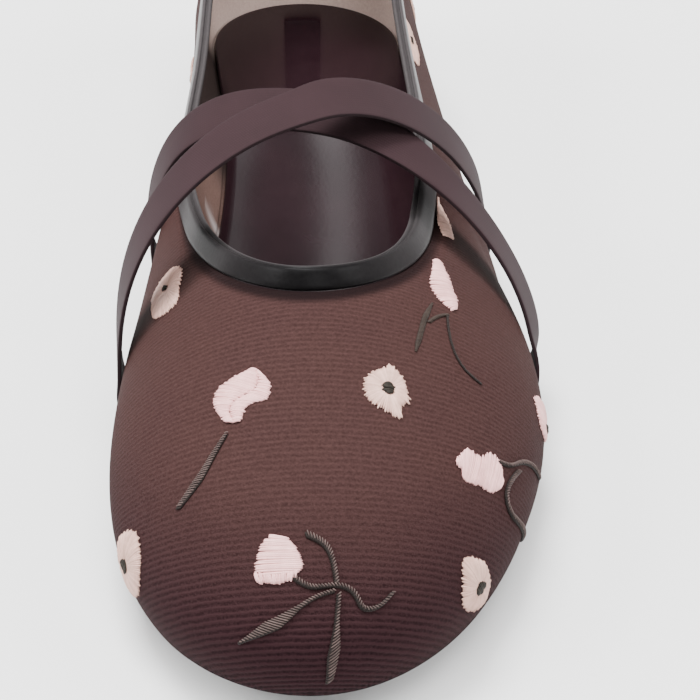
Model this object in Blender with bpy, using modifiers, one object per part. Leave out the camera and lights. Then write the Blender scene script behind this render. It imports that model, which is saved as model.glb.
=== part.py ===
"""A left dance shoe: a soft ribbed flat with a rolled collar and two elastics crossed over the instep.

The toe points to -Y, the outer side of the foot to +X, and the floor is Z = 0.
Sizes are millimetres from the last, turned into metres where a mesh is made.
An angle runs round the shoe: 0 at the toe, 90 on the outer side, 180 at the heel, 270 on the inner side.
A share runs along the shoe: 0 at the toe and 1 at the heel.
A rise runs up the wall: 0 at the sole and 1 at the top line.
"""

import bmesh
import bpy
import numpy as np

COLLECTION = "dance_shoe"
MM = 0.001
GAP = 0.3
MERGE_DISTANCE = 0.01
SHARP_EDGE_DEG = 40.0

# Length of the last and the place of its top line
TOE_Y = -121.0
HEEL_Y = 121.0
TOP_LINE_FRONT_Y = -54.0
TOP_LINE_BACK_Y = 119.0
AXIS_X = -4.6

# Share of the length that each round end takes
TOE_ROUND = 0.136
HEEL_ROUND = 0.1
TOP_LINE_FRONT_ROUND = 0.2
TOP_LINE_BACK_ROUND = 0.16

# Half widths of the last where it meets the sole, from the toe's axis
SOLE_LINE = {
    "share": [0.0, 0.12, 0.22, 0.32, 0.42, 0.52, 0.62, 0.74, 0.86, 1.0],
    "inner": [29.5, 33.2, 33.7, 32.3, 29.0, 24.2, 21.6, 22.0, 25.0, 27.0],
    "outer": [28.6, 36.0, 43.9, 43.2, 42.7, 39.4, 35.3, 30.9, 28.2, 27.0],
}

# Half widths and height of the top line
TOP_LINE = {
    "share": [0.0, 0.15, 0.3, 0.5, 0.7, 0.85, 1.0],
    "inner": [21.0, 24.0, 28.0, 26.0, 24.5, 22.2, 20.0],
    "outer": [24.0, 25.5, 28.2, 26.2, 24.0, 22.8, 20.0],
    "height": [47.0, 37.5, 35.0, 39.0, 43.5, 49.0, 56.0],
}

# How the wall leaves the sole and comes to the top line: handle lengths, and angles in degrees
INNER_WALL = {
    "share": [0.0, 0.2, 0.4, 0.7, 1.0],
    "foot_length": [22.0, 18.0, 14.8, 17.4, 22.0],
    "foot_flare": [14.0, 30.2, 19.5, 29.7, 14.0],
    "top_length": [36.0, 22.0, 9.0, 14.0, 18.0],
    "top_slope": [10.0, 52.0, 71.0, 76.0, 92.0],
}
OUTER_WALL = {
    "share": [0.0, 0.2, 0.4, 0.7, 1.0],
    "foot_length": [22.0, 18.0, 15.0, 16.0, 22.0],
    "foot_flare": [14.0, 24.5, 24.5, 19.0, 14.0],
    "top_length": [36.0, 30.0, 10.0, 14.5, 18.0],
    "top_slope": [10.0, 33.0, 63.5, 77.5, 92.0],
}
WALL_THICKNESS = 1.2
WALL_STEPS_ROUND = 80
WALL_STEPS_UP = 12

# Sole: shares where the forefoot is flat and where the heel seat starts
SOLE_THICKNESS = 3.2
SOLE_TOP_INSET = 0.8
SOLE_FOOT_INSET = 3.4
TOE_SPRING = 5.0
HEEL_LIFT = 7.0
FLAT_FROM = 0.2
FLAT_TO = 0.44
HEEL_SEAT_FROM = 0.74
SOLE_STEPS_ALONG = 36
SOLE_STEPS_ACROSS = 6

HEEL_FROM = 0.765
HEEL_INSET = 3.8
HEEL_STEPS_ALONG = 14

INSOLE_THICKNESS = 2.2
INSOLE_INSET = 1.8

BINDING_HEIGHT = 4.6
BINDING_THICKNESS = 2.6
BINDING_STEPS = 10
BINDING_SQUARENESS = 3.0

BACK_STRIP_WIDTH = 11.0
BACK_STRIP_THICKNESS = 0.7
BACK_STRIP_FROM = 0.14
BACK_STRIP_TO = 0.985
BACK_STRIP_STEPS_UP = 10
BACK_STRIP_STEPS_ACROSS = 4

# Elastics: each edge springs from the widest part of the wall and crosses as a rounded arch.
# Angles are measured from the toe on both sides, stand is the distance off the wall there,
# turn is how far each leg swings back on its way down to the sole,
# and a power over 2 makes a squarer shoulder.
STRAP_WIDTH = 12.0
STRAP_THICKNESS = 1.0
STRAP_SPRING_RISE = 0.4
STRAP_FOOT_RISE = 0.1
STRAP_FOOT_STAND = 1.3
STRAP_EASE_PASSES = 3
STRAP_SWEEP_PASSES = 24
STRAP_LEG_STEPS = 5
STRAP_ARCH_STEPS = 40
STRAP_STEPS_ACROSS = 3
STRAP_EDGES = {
    "strap_over": {
        "edge": ["front", "rear"],
        "inner_angle": [58.1, 63.8],
        "outer_angle": [85.6, 89.8],
        "inner_stand": [1.1, 3.6],
        "outer_stand": [1.1, 2.3],
        "inner_turn": [5.0, 5.0],
        "outer_turn": [6.5, 6.5],
        "height": [43.6, 43.7],
        "lean": [4.1, 8.3],
        "inner_power": [2.47, 2.54],
        "outer_power": [1.61, 1.62],
    },
    "strap_under": {
        "edge": ["front", "rear"],
        "inner_angle": [77.7, 82.9],
        "outer_angle": [62.0, 67.2],
        "inner_stand": [2.2, 5.6],
        "outer_stand": [1.1, 4.9],
        "inner_turn": [6.5, 6.5],
        "outer_turn": [5.0, 5.0],
        "height": [34.6, 37.5],
        "lean": [17.4, 18.8],
        "inner_power": [2.84, 2.49],
        "outer_power": [1.84, 1.55],
    },
}

# Base colour, roughness and metallic value
FINISHES = {
    "outsole": ((0.030, 0.022, 0.020), 0.62, 0.0),
    "heel": ((0.022, 0.017, 0.016), 0.55, 0.0),
    "insole": ((0.034, 0.022, 0.025), 0.35, 0.0),
    "upper": ((0.112, 0.052, 0.045), 0.85, 0.0),
    "collar_binding": ((0.030, 0.028, 0.030), 0.30, 0.0),
    "strap_over": ((0.120, 0.069, 0.075), 0.80, 0.0),
    "strap_under": ((0.115, 0.066, 0.072), 0.80, 0.0),
    "back_strip": ((0.028, 0.022, 0.024), 0.50, 0.0),
}


def natural_spline(at, values, where):
    """The smooth cubic curve through a table's rows, read at where."""
    at = np.asarray(at, float)
    values = np.asarray(values, float)
    where = np.asarray(where, float)
    spans = np.diff(at)
    slopes = np.diff(values) / spans
    system = np.eye(len(at))
    bends = np.zeros(len(at))
    for row in range(1, len(at) - 1):
        before, after = spans[row - 1 : row + 1]
        system[row, row - 1 : row + 2] = before, 2 * (before + after), after
        bends[row] = 6 * (slopes[row] - slopes[row - 1])
    second = np.linalg.solve(system, bends)
    row = np.clip(np.searchsorted(at, where) - 1, 0, len(at) - 2)
    span = spans[row]
    left = at[row + 1] - where
    right = where - at[row]
    cubic = (second[row] * left**3 + second[row + 1] * right**3) / (6 * span)
    low = (values[row] / span - second[row] * span / 6) * left
    high = (values[row + 1] / span - second[row + 1] * span / 6) * right
    return cubic + low + high


def column(table, name, share):
    return natural_spline(table["share"], table[name], share)


def share_of(angle):
    return (1 - np.cos(angle)) / 2


def smooth_step(value):
    value = np.clip(value, 0, 1)
    return value * value * (3 - 2 * value)


def round_ends(share, front, back):
    """1 along the middle, closing as a quarter ellipse over each end's share."""
    to_front = 1 - np.clip(share / front, 0, 1)
    to_back = 1 - np.clip((1 - share) / back, 0, 1)
    return np.sqrt(1 - to_front**2) * np.sqrt(1 - to_back**2)


def by_side(inner, outer, angle):
    """The outer side's value where the angle is on that side, and the inner side's elsewhere."""
    return np.where(np.sin(angle) >= 0, outer, inner)


def wall_column(name, angle):
    share = share_of(angle)
    return by_side(column(INNER_WALL, name, share), column(OUTER_WALL, name, share), angle)


def plan_loop(angle, table, front_y, back_y, front_round, back_round):
    """A closed line seen from above, from the half widths of its two sides."""
    share = share_of(angle)
    half = by_side(-column(table, "inner", share), column(table, "outer", share), angle)
    across = AXIS_X + half * round_ends(share, front_round, back_round)
    return np.stack([across, front_y + (back_y - front_y) * share], -1)


def sole_line(angle):
    return plan_loop(angle, SOLE_LINE, TOE_Y, HEEL_Y, TOE_ROUND, HEEL_ROUND)


def top_line(angle):
    return plan_loop(
        angle, TOP_LINE, TOP_LINE_FRONT_Y, TOP_LINE_BACK_Y, TOP_LINE_FRONT_ROUND, TOP_LINE_BACK_ROUND
    )


def unit(vectors):
    return vectors / np.linalg.norm(vectors, axis=-1, keepdims=True)


def outward(line, angle, step=0.001):
    """The direction square to a plan loop, pointing away from the foot."""
    along = line(angle + step) - line(angle - step)
    return unit(np.stack([along[..., 1], -along[..., 0]], -1))


def sole_top(y):
    """Height of the outsole's top face: toe spring, flat forefoot, arch and heel seat."""
    share = (y - TOE_Y) / (HEEL_Y - TOE_Y)
    spring = TOE_SPRING * np.clip(1 - share / FLAT_FROM, 0, 1) ** 2
    lift = HEEL_LIFT * smooth_step((share - FLAT_TO) / (HEEL_SEAT_FROM - FLAT_TO))
    return SOLE_THICKNESS + spring + lift


def with_height(plan, height):
    return np.concatenate([plan, height[..., None]], -1)


def wall(angle, rise):
    """A point of the outer wall: a cubic curve from the sole line up to the top line."""
    share = share_of(angle)
    foot_plan = sole_line(angle)
    foot = with_height(foot_plan, sole_top(foot_plan[..., 1]) + GAP)
    top = with_height(top_line(angle), column(TOP_LINE, "height", share))
    flare = np.radians(wall_column("foot_flare", angle))
    slope = np.radians(wall_column("top_slope", angle))
    foot_way = with_height(outward(sole_line, angle) * np.sin(flare)[..., None], np.cos(flare))
    top_way = with_height(outward(top_line, angle) * np.cos(slope)[..., None], -np.sin(slope))
    foot_handle = foot + foot_way * wall_column("foot_length", angle)[..., None]
    top_handle = top + top_way * wall_column("top_length", angle)[..., None]
    up = rise[..., None]
    down = 1 - up
    return down**3 * foot + 3 * up * down**2 * foot_handle + 3 * up**2 * down * top_handle + up**3 * top


def wall_normal(angle, rise, step=0.001):
    around = wall(angle + step, rise) - wall(angle - step, rise)
    upward = wall(angle, rise + step) - wall(angle, rise - step)
    return unit(np.cross(around, upward))


def wall_upward(angle, rise, step=0.001):
    """The direction up the wall, along one of its curves."""
    return unit(wall(angle, rise) - wall(angle, rise - step))


def off_wall(angle, rise, stand):
    """A point at a distance off the outer wall, inside it where the distance is negative."""
    return wall(angle, rise) + wall_normal(angle, rise) * np.asarray(stand)[..., None]


def grid_faces(rows, columns, loop_rows=False, loop_columns=False):
    """Four-sided faces over a grid of points, joined at its ends where it loops."""
    row_count = rows if loop_rows else rows - 1
    column_count = columns if loop_columns else columns - 1
    faces = []
    for row in range(row_count):
        for place in range(column_count):
            next_row = (row + 1) % rows
            next_place = (place + 1) % columns
            faces.append(
                (
                    row * columns + place,
                    next_row * columns + place,
                    next_row * columns + next_place,
                    row * columns + next_place,
                )
            )
    return faces


def finish(name):
    colour, roughness, metallic = FINISHES[name]
    material = bpy.data.materials.new(name)
    material.use_nodes = True
    shader = material.node_tree.nodes["Principled BSDF"]
    shader.inputs["Base Color"].default_value = (*colour, 1)
    shader.inputs["Roughness"].default_value = roughness
    shader.inputs["Metallic"].default_value = metallic
    return material


def add_piece(name, points, loop_rows=False, loop_columns=False):
    """An object from a grid of points, with doubled points at its tips merged and its faces turned outwards."""
    rows, columns = points.shape[:2]
    mesh = bpy.data.meshes.new(name)
    vertices = (points.reshape(-1, 3) * MM).tolist()
    mesh.from_pydata(vertices, [], grid_faces(rows, columns, loop_rows, loop_columns))
    work = bmesh.new()
    work.from_mesh(mesh)
    bmesh.ops.remove_doubles(work, verts=work.verts, dist=MERGE_DISTANCE * MM)
    work.to_mesh(mesh)
    work.free()
    mesh.shade_smooth()
    mesh.set_sharp_from_angle(angle=np.radians(SHARP_EDGE_DEG))
    mesh.materials.append(finish(name))
    piece = bpy.data.objects.new(name, mesh)
    bpy.data.collections[COLLECTION].objects.link(piece)
    return piece


def thicken(piece, thickness, offset):
    """Give an open surface its wall: offset -1 goes inwards, 0 half each way."""
    solid = piece.modifiers.new("thickness", "SOLIDIFY")
    solid.thickness = thickness * MM
    solid.offset = offset
    solid.use_even_offset = True


def sheet_points(share_from, share_to, steps, inset, height):
    """Rows of points across the sole, from the inner edge to the outer edge, at a height for each y."""
    angles = np.linspace(np.arccos(1 - 2 * share_from), np.arccos(1 - 2 * share_to), steps + 1)
    outer = sole_line(angles) - outward(sole_line, angles) * inset
    inner = sole_line(-angles) - outward(sole_line, -angles) * inset
    across = np.linspace(0, 1, SOLE_STEPS_ACROSS + 1)[None, :, None]
    plan = outer[:, None] + (inner - outer)[:, None] * across
    return with_height(plan, height(plan[..., 1]))


def make_outsole():
    """A sheet under the upper, with its edge trimmed back towards the floor."""

    def underside(y):
        return sole_top(y) - SOLE_THICKNESS

    top = sheet_points(0, 1, SOLE_STEPS_ALONG, SOLE_TOP_INSET, sole_top)
    foot = sheet_points(0, 1, SOLE_STEPS_ALONG, SOLE_FOOT_INSET, underside)
    add_piece("outsole", np.concatenate([top, foot[:, ::-1]], axis=1), loop_columns=True)


def make_heel():
    height = HEEL_LIFT - GAP

    def top(y):
        return np.full_like(y, height)

    points = sheet_points(HEEL_FROM, 1, HEEL_STEPS_ALONG, HEEL_INSET, top)
    thicken(add_piece("heel", points), height, -1)


def make_insole():
    def top(y):
        return sole_top(y) + GAP + INSOLE_THICKNESS

    points = sheet_points(0, 1, SOLE_STEPS_ALONG, INSOLE_INSET, top)
    thicken(add_piece("insole", points), INSOLE_THICKNESS, -1)


def make_upper():
    angles = np.linspace(0, 2 * np.pi, WALL_STEPS_ROUND, endpoint=False)
    rises = np.linspace(0, 1, WALL_STEPS_UP + 1)
    angle, rise = np.meshgrid(angles, rises, indexing="ij")
    thicken(add_piece("upper", wall(angle, rise), loop_rows=True), WALL_THICKNESS, -1)


def make_collar_binding():
    """A rounded tape that stands on the wall's top edge and carries its direction on."""
    angle = np.linspace(0, 2 * np.pi, WALL_STEPS_ROUND, endpoint=False)
    rise = np.ones_like(angle)
    normal = wall_normal(angle, rise)
    upward = wall_upward(angle, rise)
    lift = GAP + BINDING_HEIGHT / 2
    centre = off_wall(angle, rise, -WALL_THICKNESS / 2) + upward * lift
    turn = np.linspace(0, 2 * np.pi, BINDING_STEPS, endpoint=False) + np.pi / BINDING_STEPS
    power = 2 / BINDING_SQUARENESS
    out = np.sign(np.cos(turn)) * np.abs(np.cos(turn)) ** power * BINDING_THICKNESS / 2
    up = np.sign(np.sin(turn)) * np.abs(np.sin(turn)) ** power * BINDING_HEIGHT / 2
    points = centre[:, None] + normal[:, None] * out[None, :, None] + upward[:, None] * up[None, :, None]
    add_piece("collar_binding", points, loop_rows=True, loop_columns=True)


def make_back_strip(step=0.02):
    """A tape inside the back seam, of one width all the way up."""
    rises = np.linspace(BACK_STRIP_FROM, BACK_STRIP_TO, BACK_STRIP_STEPS_UP + 1)
    middle = np.full_like(rises, np.pi)
    beside = wall(middle + step, rises) - wall(middle - step, rises)
    per_angle = np.linalg.norm(beside, axis=-1) / (2 * step)
    across = np.linspace(-0.5, 0.5, BACK_STRIP_STEPS_ACROSS + 1)
    angle = np.pi + across[:, None] * BACK_STRIP_WIDTH / per_angle[None]
    rise = np.broadcast_to(rises, angle.shape)
    points = off_wall(angle, rise, -(WALL_THICKNESS + GAP))
    thicken(add_piece("back_strip", points), BACK_STRIP_THICKNESS, -1)


def eased(path, passes):
    """A path with the bends between its stretches softened and its ends kept."""
    path = path.copy()
    for _ in range(passes):
        path[1:-1] = (path[:-2] + 2 * path[1:-1] + path[2:]) / 4
    return path


def strap_edge(row):
    """One edge of an elastic: up the inner wall, over as a rounded arch, and down the outer wall."""
    spring_angles = np.radians([360 - row["inner_angle"], row["outer_angle"]])
    stands = np.array([row["inner_stand"], row["outer_stand"]])
    springs = off_wall(spring_angles, np.full(2, STRAP_SPRING_RISE), stands)
    turn = np.linspace(0, np.pi, STRAP_ARCH_STEPS + 1)
    power = 2 / np.where(np.cos(turn) > 0, row["inner_power"], row["outer_power"])
    along = -np.sign(np.cos(turn)) * np.abs(np.cos(turn)) ** power
    lift = np.abs(np.sin(turn)) ** power
    middle = springs.mean(axis=0)
    half = (springs[1] - springs[0]) / 2
    top = np.array([0, row["lean"], row["height"]])
    arch = middle + along[:, None] * half + lift[:, None] * top
    fall = np.linspace(0, 1, STRAP_LEG_STEPS + 1)[1:]
    rise = STRAP_SPRING_RISE + (STRAP_FOOT_RISE - STRAP_SPRING_RISE) * fall
    legs = []
    turns = np.radians([-row["inner_turn"], row["outer_turn"]])
    for angle, stand, leg_turn in zip(spring_angles, stands, turns):
        swing = angle + leg_turn * fall
        legs.append(off_wall(swing, rise, stand + (STRAP_FOOT_STAND - stand) * fall))
    path = eased(np.concatenate([legs[0][::-1], arch, legs[1]]), STRAP_EASE_PASSES)
    path[:, 1] = eased(path[:, 1], STRAP_SWEEP_PASSES)
    return path


def make_strap(name):
    """A band of one width, laid along the middle of its two fitted edges."""
    table = STRAP_EDGES[name]
    front, rear = (
        strap_edge({key: table[key][place] for key in table}) for place in range(len(table["edge"]))
    )
    middle = (front + rear) / 2
    along = unit(np.gradient(middle, axis=0))
    across = rear - front
    across = unit(across - along * (across * along).sum(axis=-1, keepdims=True))
    shift = np.linspace(-0.5, 0.5, STRAP_STEPS_ACROSS + 1) * STRAP_WIDTH
    points = middle[None] + across[None] * shift[:, None, None]
    thicken(add_piece(name, points), STRAP_THICKNESS, 0)


def main():
    for old in list(bpy.data.objects):
        bpy.data.objects.remove(old)
    collection = bpy.data.collections.new(COLLECTION)
    bpy.context.scene.collection.children.link(collection)
    make_outsole()
    make_heel()
    make_insole()
    make_upper()
    make_collar_binding()
    make_back_strip()
    for name in STRAP_EDGES:
        make_strap(name)


main()
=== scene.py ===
# %% [markdown]
# A soft dance shoe for the left foot, dressed for its picture.
# The frame brings in the solids. Each step below replaces one of them with the surface that a
# maker sees and touches: ribbed cloth, lining, rolled binding, woven elastic, insole board and rubber.
# The toe points to -Y, the outer side of the foot to +X, and the floor is Z = 0.
# Sizes are millimetres from the last, turned into metres where a mesh is made.

import bmesh
import bpy
import numpy as np
from mathutils import Matrix


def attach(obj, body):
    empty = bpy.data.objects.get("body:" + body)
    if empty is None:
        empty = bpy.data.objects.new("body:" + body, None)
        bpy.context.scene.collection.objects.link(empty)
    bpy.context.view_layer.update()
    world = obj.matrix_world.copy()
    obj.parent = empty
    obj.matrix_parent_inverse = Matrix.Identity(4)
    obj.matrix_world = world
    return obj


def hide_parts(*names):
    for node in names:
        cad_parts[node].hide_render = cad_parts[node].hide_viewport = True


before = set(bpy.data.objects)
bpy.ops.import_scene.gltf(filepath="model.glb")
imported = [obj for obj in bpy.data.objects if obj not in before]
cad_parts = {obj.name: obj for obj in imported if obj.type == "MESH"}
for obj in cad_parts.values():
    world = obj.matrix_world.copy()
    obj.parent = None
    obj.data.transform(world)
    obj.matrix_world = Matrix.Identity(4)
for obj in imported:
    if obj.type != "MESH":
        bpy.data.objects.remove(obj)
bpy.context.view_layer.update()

MM = 0.001

# %% [markdown]
# The last is the wooden foot that a shoe is pulled over, so its form decides every piece of the shoe.
# Two plan lines describe it: the sole line at the bottom and the top line round the opening.
# A cubic curve joins them at each angle, 0 at the toe, 90 on the outer side and 180 at the heel.
# This is the same formula as the solids use, so each new surface keeps the form of the solids.

# %% The last in numbers
TOE_Y = -121.0
HEEL_Y = 121.0
TOP_LINE_FRONT_Y = -54.0
TOP_LINE_BACK_Y = 119.0
AXIS_X = -4.6
GAP = 0.3
SOLE_LINE = {
    "share": [0.0, 0.12, 0.22, 0.32, 0.42, 0.52, 0.62, 0.74, 0.86, 1.0],
    "inner": [29.5, 33.2, 33.7, 32.3, 29.0, 24.2, 21.6, 22.0, 25.0, 27.0],
    "outer": [28.6, 36.0, 43.9, 43.2, 42.7, 39.4, 35.3, 30.9, 28.2, 27.0],
}
TOP_LINE = {
    "share": [0.0, 0.15, 0.3, 0.5, 0.7, 0.85, 1.0],
    "inner": [21.0, 24.0, 28.0, 26.0, 24.5, 22.2, 20.0],
    "outer": [24.0, 25.5, 28.2, 26.2, 24.0, 22.8, 20.0],
    "height": [47.0, 37.5, 35.0, 39.0, 43.5, 49.0, 56.0],
}
INNER_WALL = {
    "share": [0.0, 0.2, 0.4, 0.7, 1.0],
    "foot_length": [22.0, 18.0, 14.8, 17.4, 22.0],
    "foot_flare": [14.0, 30.2, 19.5, 29.7, 14.0],
    "top_length": [36.0, 22.0, 9.0, 14.0, 18.0],
    "top_slope": [10.0, 52.0, 71.0, 76.0, 92.0],
}
OUTER_WALL = {
    "share": [0.0, 0.2, 0.4, 0.7, 1.0],
    "foot_length": [22.0, 18.0, 15.0, 16.0, 22.0],
    "foot_flare": [14.0, 24.5, 24.5, 19.0, 14.0],
    "top_length": [36.0, 30.0, 10.0, 14.5, 18.0],
    "top_slope": [10.0, 33.0, 63.5, 77.5, 92.0],
}


def natural_spline(at, values, where):
    """The smooth cubic curve through a table's rows, read at where."""
    at, values, where = (np.asarray(part, float) for part in (at, values, where))
    spans = np.diff(at)
    slopes = np.diff(values) / spans
    system = np.eye(len(at))
    bends = np.zeros_like(at)
    for row in range(1, len(at) - 1):
        before, after = spans[row - 1 : row + 1]
        system[row, row - 1 : row + 2] = before, 2 * (before + after), after
        bends[row] = 6 * (slopes[row] - slopes[row - 1])
    second = np.linalg.solve(system, bends)
    row = np.clip(np.searchsorted(at, where) - 1, 0, len(at) - 2)
    span = spans[row]
    left = at[row + 1] - where
    right = where - at[row]
    cubic = (second[row] * left**3 + second[row + 1] * right**3) / (6 * span)
    low = (values[row] / span - second[row] * span / 6) * left
    high = (values[row + 1] / span - second[row + 1] * span / 6) * right
    return cubic + low + high


def column(table, name, share):
    return natural_spline(table["share"], table[name], share)


def smooth_step(value):
    value = np.clip(value, 0, 1)
    return value * value * (3 - 2 * value)


print("the last is", HEEL_Y - TOE_Y, "mm long")

# %% Plan lines and wall
TOE_ROUND = 0.136
HEEL_ROUND = 0.1
TOP_LINE_FRONT_ROUND = 0.2
TOP_LINE_BACK_ROUND = 0.16
SOLE_THICKNESS = 3.2
TOE_SPRING = 5.0
HEEL_LIFT = 7.0
FLAT_FROM = 0.2
FLAT_TO = 0.44
HEEL_SEAT_FROM = 0.74


def share_of(angle):
    return (1 - np.cos(angle)) / 2


def by_side(inner, outer, angle):
    return np.where(np.sin(angle) >= 0, outer, inner)


def wall_column(name, angle):
    share = share_of(angle)
    return by_side(column(INNER_WALL, name, share), column(OUTER_WALL, name, share), angle)


def round_ends(share, front, back):
    """1 along the middle, closing as a quarter ellipse over each end's share."""
    to_front = 1 - np.clip(share / front, 0, 1)
    to_back = 1 - np.clip((1 - share) / back, 0, 1)
    return np.sqrt(1 - to_front**2) * np.sqrt(1 - to_back**2)


def plan_loop(angle, table, front_y, back_y, front_round, back_round):
    """A closed line seen from above: half width of its side, times the rounding of its two ends."""
    share = share_of(angle)
    half = by_side(-column(table, "inner", share), column(table, "outer", share), angle)
    across = AXIS_X + half * round_ends(share, front_round, back_round)
    return np.stack([across, front_y + (back_y - front_y) * share], -1)


def sole_line(angle):
    return plan_loop(angle, SOLE_LINE, TOE_Y, HEEL_Y, TOE_ROUND, HEEL_ROUND)


def top_line(angle):
    ends = TOP_LINE_FRONT_ROUND, TOP_LINE_BACK_ROUND
    return plan_loop(angle, TOP_LINE, TOP_LINE_FRONT_Y, TOP_LINE_BACK_Y, *ends)


def unit(vectors):
    return vectors / np.linalg.norm(vectors, axis=-1, keepdims=True)


def outward(line, angle, step=0.001):
    """The direction square to a plan loop, pointing away from the foot."""
    along = line(angle + step) - line(angle - step)
    return unit(np.stack([along[..., 1], -along[..., 0]], -1))


def sole_top(y):
    """Height of the outsole's top face: toe spring, flat forefoot, arch and heel seat."""
    share = (y - TOE_Y) / (HEEL_Y - TOE_Y)
    spring = TOE_SPRING * np.clip(1 - share / FLAT_FROM, 0, 1) ** 2
    lift = HEEL_LIFT * smooth_step((share - FLAT_TO) / (HEEL_SEAT_FROM - FLAT_TO))
    return SOLE_THICKNESS + spring + lift


def with_height(plan, height):
    return np.concatenate([plan, height[..., None]], -1)


def wall(angle, rise):
    """A point of the wall: a cubic curve from the sole line (rise 0) up to the top line (rise 1)."""
    share = share_of(angle)
    foot_plan = sole_line(angle)
    foot = with_height(foot_plan, sole_top(foot_plan[..., 1]) + GAP)
    top = with_height(top_line(angle), column(TOP_LINE, "height", share))
    flare = np.radians(wall_column("foot_flare", angle))
    slope = np.radians(wall_column("top_slope", angle))
    foot_way = with_height(outward(sole_line, angle) * np.sin(flare)[..., None], np.cos(flare))
    top_way = with_height(outward(top_line, angle) * np.cos(slope)[..., None], -np.sin(slope))
    foot_handle = foot + foot_way * wall_column("foot_length", angle)[..., None]
    top_handle = top + top_way * wall_column("top_length", angle)[..., None]
    up = rise[..., None]
    down = 1 - up
    return down**3 * foot + 3 * up * down**2 * foot_handle + 3 * up**2 * down * top_handle + up**3 * top


def wall_normal(angle, rise, step=0.001):
    around = wall(angle + step, rise) - wall(angle - step, rise)
    upward = wall(angle, rise + step) - wall(angle, rise - step)
    return unit(np.cross(around, upward))


def off_wall(angle, rise, stand):
    """The wall's point moved along its normal, outside the shoe where the distance is positive."""
    return wall(angle, rise) + wall_normal(angle, rise) * np.asarray(stand)[..., None]


ball = off_wall(np.radians([70.0, 290.0]), np.array([0.4, 0.4]), np.zeros(2))
print("width at the ball", round(float(ball[0, 0] - ball[1, 0]), 1), "mm")

# %% [markdown]
# Every piece is a sheet of points over two counts, like cloth over its warp and weft.
# One function turns such a grid into a mesh, joins it where it loops, closes its tips and turns it out.
# Numbers marked on the points, such as a distance along the cloth, are kept for the materials to read.

# %% Grid to piece
MERGE_DISTANCE = 0.004


def grid_faces(rows, columns, loop_rows=False):
    """Four corners for each face of a grid, as one array. Its columns always close in a loop."""
    row = np.arange(rows if loop_rows else rows - 1)[:, None]
    place = np.arange(columns)[None]
    next_row = (row + 1) % rows
    next_place = (place + 1) % columns
    corners = [
        row * columns + place,
        next_row * columns + place,
        next_row * columns + next_place,
        row * columns + next_place,
    ]
    return np.stack(corners, -1).reshape(-1, 4)


def make_mesh(name, points, faces, marks):
    mesh = bpy.data.meshes.new(name)
    mesh.vertices.add(len(points))
    mesh.vertices.foreach_set("co", (points * MM).ravel())
    mesh.loops.add(faces.size)
    mesh.loops.foreach_set("vertex_index", faces.ravel().astype(np.int32))
    mesh.polygons.add(len(faces))
    mesh.polygons.foreach_set("loop_start", np.arange(0, faces.size, faces.shape[1], dtype=np.int32))
    for mark, values in marks.items():
        values = np.broadcast_to(values, len(points)).astype(np.float32)
        mesh.attributes.new(mark, "FLOAT", "POINT").data.foreach_set("value", values)
    mesh.update(calc_edges=True)
    return mesh


def new_object(name, data):
    made = bpy.data.objects.new(name, data)
    bpy.context.scene.collection.objects.link(made)
    return made


def add_piece(name, points, replaces=None, loop_rows=False, marks=None):
    """An object from a grid of points, with the faces between them."""
    rows, columns = points.shape[:2]
    flat_marks = {}
    for mark, values in (marks or {}).items():
        flat_marks[mark] = np.broadcast_to(values, (rows, columns)).ravel()
    faces = grid_faces(rows, columns, loop_rows)
    return close_up(name, points.reshape(-1, 3), faces, flat_marks, replaces)


def close_up(name, points, faces, marks, replaces=None):
    """A piece from points and faces, on root: doubled points at its tips merged, faces turned outwards."""
    mesh = make_mesh(name, points, faces, marks)
    work = bmesh.new()
    work.from_mesh(mesh)
    bmesh.ops.remove_doubles(work, verts=work.verts, dist=MERGE_DISTANCE * MM)
    bmesh.ops.recalc_face_normals(work, faces=work.faces)
    work.to_mesh(mesh)
    work.free()
    mesh.shade_smooth()
    piece = new_object(name, mesh)
    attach(piece, "root")
    if replaces:
        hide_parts(replaces)
    print(name, len(mesh.polygons), "faces")
    return piece


# %% [markdown]
# The upper is one sheet of ribbed cloth pulled over the last and tucked under at the sole.
# Its ribs lie across the shoe. Behind the throat they are upright sections. In front of it they lean over
# step by step with the profile, so that they keep one spacing down to the toe.
# The rib distance is marked on each point, and the material raises the ribs from it.
# The sewn binding pulls a soft trough along the top edge, and painted shadow darkens the cloth below it at
# the front.
# The trough is shallower at the heel, where the back tape lies. The tuck at the toe leaves small gathers.

# %% Upper cloth
CLOTH_THICKNESS = 0.55
CLOTH_STEPS_ROUND = 320
CLOTH_STEPS_UP = 50
EDGE_FROM = 0.9
EDGE_STEPS_UP = 16
TROUGH_DEPTH = 0.8
TROUGH_FROM = 0.95
TAPE_TROUGH_DEPTH = 0.2
TAPE_EASE_FROM = 0.9
TAPE_EASE_REACH = 0.4
BINDING_SHADOW_FROM = 0.962
BINDING_SHADOW_REACH = 0.02375
RIB_LEAN_DEG = 35.0
TOE_DARK_FROM = 0.66
TOE_DARK_REACH = 0.5
TOE_DARK_POWER = 8
GATHER_TO = 0.06
GATHER_POWER = 4
RIB_PROFILE_STEPS = 300


def rib_distance(points):
    """Distance along the shoe's profile to each point's rib plane; planes lean more towards the toe."""
    rises = np.linspace(1, 0, RIB_PROFILE_STEPS)
    profile = wall(np.zeros_like(rises), rises)[:, 1:]
    run = run_of(profile)
    lean = np.radians(RIB_LEAN_DEG) * smooth_step(run / run[-1])
    across_y = np.cos(lean)
    across_z = np.sin(lean)
    y = points[..., 1, None]
    z = points[..., 2, None]
    ahead = across_y * (y - profile[:, 0]) + across_z * (z - profile[:, 1])
    passed = np.clip((ahead < 0).sum(axis=-1), 0, RIB_PROFILE_STEPS - 1)
    rest = np.take_along_axis(ahead, passed[..., None], -1)[..., 0]
    return run[passed] - rest


def run_of(path):
    """Distance along a path at each of its points."""
    return np.concatenate([[0], np.cumsum(np.linalg.norm(np.diff(path, axis=0), axis=1))])


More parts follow.
